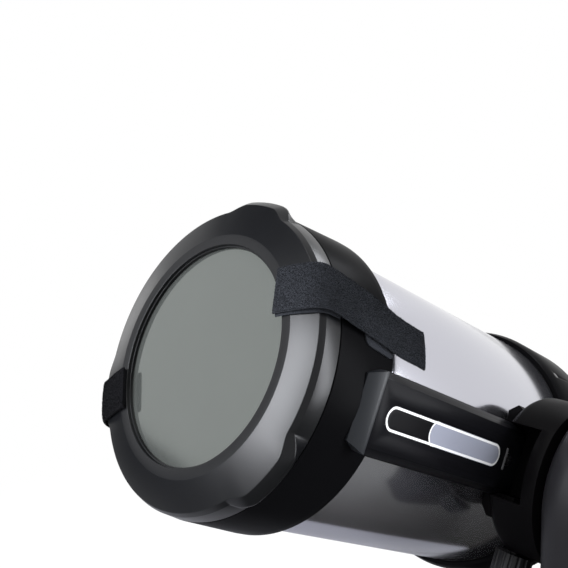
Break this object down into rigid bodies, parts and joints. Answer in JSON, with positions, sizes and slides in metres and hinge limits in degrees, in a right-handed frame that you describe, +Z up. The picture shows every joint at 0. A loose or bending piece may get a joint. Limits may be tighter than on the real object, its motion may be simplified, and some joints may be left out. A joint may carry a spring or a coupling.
{
  "type": "schmidt cassegrain telescope",
  "caption": "Schmidt-Cassegrain telescope with a strapped solar filter cap, dovetail bar and round saddle on a single-arm turning mount.",
  "frame": {"origin": "centre of the tripod pin bore at the underside of the fixed base plate", "axes": "+Z up, -Y the way the tube looks at rest, +X towards the fork arm along the altitude axis"},
  "size_m": [0.4293, 0.5239, 0.6004],
  "materials": {
    "tube_metal": "satin",
    "cell_black": "satin paint",
    "black_anodised": "anodised",
    "clear_glass": "polished",
    "optics_mirror": "polished",
    "filter_plastic": "fine texture",
    "filter_film": "reflective film",
    "strap_fabric": "looped pile",
    "charcoal_rubber": "satin",
    "black_rubber": "matte",
    "badge_plastic": "two-tone gloss",
    "arm_plastic": "fine texture",
    "base_plastic": "fine texture",
    "knob_plastic": "moulded",
    "machined_steel": "turned",
    "brass": "machined",
    "cast_metal": "as cast",
    "motor_paint": "satin",
    "battery_wrap": "shrink wrap",
    "button_orange": "gloss",
    "cast_metal_black": "powder coat"
  },
  "bodies": {
    "stand": {"base_plate": "cast_metal_black", "azimuth_bearing": "machined_steel", "rubber_feet": "black_rubber"},
    "fork": {"base_housing": "base_plastic", "base_chassis": "cast_metal", "azimuth_motor": "motor_paint", "battery_pack": "battery_wrap", "port_panel": "knob_plastic", "arm_casting": "cast_metal", "arm_inner_shell": "arm_plastic", "arm_outer_shell": "arm_plastic", "arm_screws": "machined_steel", "carry_handle": "knob_plastic", "altitude_bearings": "machined_steel", "altitude_motor": "motor_paint"},
    "azimuth_worm": {"azimuth_worm": "brass"},
    "altitude_worm": {"altitude_worm": "brass"},
    "azimuth_clutch": {"azimuth_clutch_knob": "knob_plastic"},
    "altitude_clutch": {"altitude_clutch_knob": "knob_plastic"},
    "power_button": {"power_button": "button_orange"},
    "saddle": {"saddle_body": "black_anodised", "altitude_shaft": "machined_steel", "altitude_wheel": "brass"},
    "clamp_jaw": {"clamp_jaw": "black_anodised"},
    "clamp_knob": {"clamp_knob": "knob_plastic"},
    "tube_assembly": {"tube": "tube_metal", "front_cell": "cell_black", "corrector_plate": "clear_glass", "corrector_retainer": "black_anodised", "retainer_screws": "machined_steel", "secondary_holder": "black_anodised", "secondary_mirror": "optics_mirror", "secondary_baffle": "black_anodised", "collimation_screws": "machined_steel", "rear_cell": "cell_black", "rear_cell_screws": "machined_steel", "baffle_tube": "black_anodised", "focus_housing": "black_anodised", "visual_back": "black_anodised", "dovetail_bar": "black_anodised", "bar_badge": "badge_plastic", "bar_bumper": "charcoal_rubber", "bar_screws": "machined_steel", "hook_patches": "strap_fabric"},
    "mirror": {"mirror_carrier": "cast_metal", "primary_mirror": "optics_mirror"},
    "focuser": {"focus_screw": "brass", "focus_knob": "black_rubber"},
    "visual_back_screw": {"visual_back_screw": "machined_steel"},
    "diagonal": {"diagonal_body": "black_anodised", "diagonal_mirror": "optics_mirror"},
    "eyepiece_screw": {"eyepiece_screw": "machined_steel"},
    "eyepiece": {"eyepiece_body": "black_anodised", "eyepiece_lens": "clear_glass", "eyecup": "black_rubber"},
    "solar_filter": {"filter_frame": "filter_plastic", "filter_film": "filter_film", "film_ring": "filter_plastic", "right_strap": "strap_fabric", "left_strap": "strap_fabric"}
  },
  "joints": [
    {"name": "azimuth_turn", "type": "hinge", "parent": "stand", "child": "fork", "pos_m": [0, 0, 0.03], "axis": [0, 0, 1], "range_deg": [-180, 180]},
    {"name": "azimuth_worm_turn", "type": "hinge", "parent": "fork", "child": "azimuth_worm", "pos_m": [0, 0.0533, 0.046], "axis": [1, 0, 0], "range_deg": [-32400, 32400]},
    {"name": "azimuth_clutch_turn", "type": "hinge", "parent": "fork", "child": "azimuth_clutch", "pos_m": [0, 0, 0.09], "axis": [0, 0, 1], "range_deg": [0, 270]},
    {"name": "altitude_tilt", "type": "hinge", "parent": "fork", "child": "saddle", "pos_m": [0.16, 0, 0.37], "axis": [-1, 0, 0], "range_deg": [-30, 64.7]},
    {"name": "altitude_worm_turn", "type": "hinge", "parent": "fork", "child": "altitude_worm", "pos_m": [0.2203, 0, 0.3107], "axis": [0, -1, 0], "range_deg": [-5400, 11646]},
    {"name": "altitude_clutch_turn", "type": "hinge", "parent": "fork", "child": "altitude_clutch", "pos_m": [0.25, 0, 0.37], "axis": [1, 0, 0], "range_deg": [0, 270]},
    {"name": "clamp_knob_turn", "type": "hinge", "parent": "saddle", "child": "clamp_knob", "pos_m": [0.124, -0.03584, 0.31173], "axis": [0, -0.4274, -0.9041], "range_deg": [0, 1080]},
    {"name": "jaw_slide", "type": "slide", "parent": "saddle", "child": "clamp_jaw", "axis": [0, -0.4274, -0.9041], "range_m": [0, 0.00375]},
    {"name": "balance_slide", "type": "slide", "parent": "saddle", "child": "tube_assembly", "axis": [0, -0.9041, 0.4274], "range_m": [-0.018, 0.018]},
    {"name": "cap_pull", "type": "slide", "parent": "tube_assembly", "child": "solar_filter", "axis": [0, -0.9041, 0.4274], "range_m": [0, 0.06]},
    {"name": "focus_turn", "type": "hinge", "parent": "tube_assembly", "child": "focuser", "pos_m": [-0.04751, 0.09247, 0.2895], "axis": [0, -0.9041, 0.4274], "range_deg": [-3600, 3600]},
    {"name": "mirror_slide", "type": "slide", "parent": "tube_assembly", "child": "mirror", "axis": [0, -0.9041, 0.4274], "range_m": [-0.0075, 0.0075]},
    {"name": "visual_back_screw_turn", "type": "hinge", "parent": "tube_assembly", "child": "visual_back_screw", "pos_m": [0, 0.14539, 0.32893], "axis": [0, 0.4274, 0.9041], "range_deg": [0, 360]},
    {"name": "diagonal_turn", "type": "hinge", "parent": "tube_assembly", "child": "diagonal", "pos_m": [0, 0.16725, 0.29094], "axis": [0, -0.9041, 0.4274], "range_deg": [-90, 90]},
    {"name": "eyepiece_screw_turn", "type": "hinge", "parent": "diagonal", "child": "eyepiece_screw", "pos_m": [-0.025, 0.18093, 0.31987], "axis": [-1, 0, 0], "range_deg": [0, 360]},
    {"name": "eyepiece_pull", "type": "slide", "parent": "diagonal", "child": "eyepiece", "axis": [0, 0.4274, 0.9041], "range_m": [0, 0.022]},
    {"name": "power_press", "type": "slide", "parent": "fork", "child": "power_button", "axis": [1, 0, 0], "range_m": [0, 0.002], "stiffness_N_per_m": 400, "springref_m": -0.001}
  ],
  "couplings": [
    {"joint": "azimuth_worm_turn", "follows": "azimuth_turn", "ratio": 180},
    {"joint": "altitude_worm_turn", "follows": "altitude_tilt", "ratio": 180},
    {"joint": "clamp_knob_turn", "follows": "jaw_slide", "rad_per_m": 5026.5},
    {"joint": "focus_turn", "follows": "mirror_slide", "rad_per_m": 8377.6}
  ]
}
